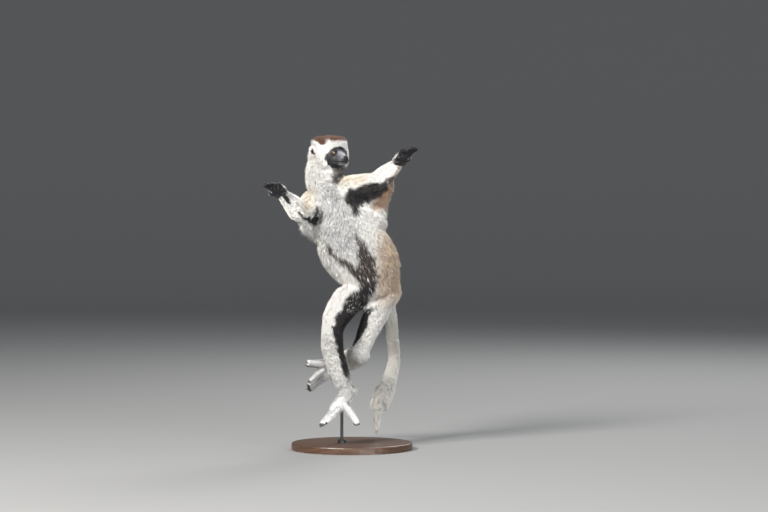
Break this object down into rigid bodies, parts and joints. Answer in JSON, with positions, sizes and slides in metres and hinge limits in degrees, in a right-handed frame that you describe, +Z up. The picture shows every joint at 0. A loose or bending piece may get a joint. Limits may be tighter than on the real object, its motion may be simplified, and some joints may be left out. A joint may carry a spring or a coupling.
{
  "type": "verreaux's sifaka model",
  "caption": "Life-size museum-style model of a Verreaux's sifaka in mid-leap, its arms spread and its tail hanging, held above a round base by a thin rod.",
  "frame": {"origin": "the middle of the round base's underside, on the surface the stand rests on", "axes": "+Z up, +X towards the animal's left hand, -Y the way its chest faces; the head is turned towards +X"},
  "size_m": [0.3981, 0.421, 0.8073],
  "materials": {
    "coat": "long soft white fur, chestnut on the crown, grey on the chest and dark on the insides of the limbs",
    "bare_skin": "black bare skin, matt with a slight sheen",
    "eye": "glossy amber eye with a round black pupil",
    "stand_wood": "dark satin wood",
    "stand_steel": "black satin paint"
  },
  "bodies": {
    "root": {"belly": "coat", "chest": "coat", "ear_left": "coat", "ear_right": "coat", "eye_left": "eye", "eye_right": "eye", "foot_left": "coat", "foot_right": "coat", "forearm_left": "coat", "forearm_right": "coat", "hand_left": "bare_skin", "hand_right": "bare_skin", "head": "coat", "hips": "coat", "neck": "coat", "shin_left": "coat", "shin_right": "coat", "stand_base": "stand_wood", "stand_collar": "stand_steel", "stand_rod": "stand_steel", "tail_base": "coat", "tail_middle": "coat", "tail_tip": "coat", "thigh_left": "coat", "thigh_right": "coat", "upper_arm_left": "coat", "upper_arm_right": "coat"}
  },
  "joints": []
}
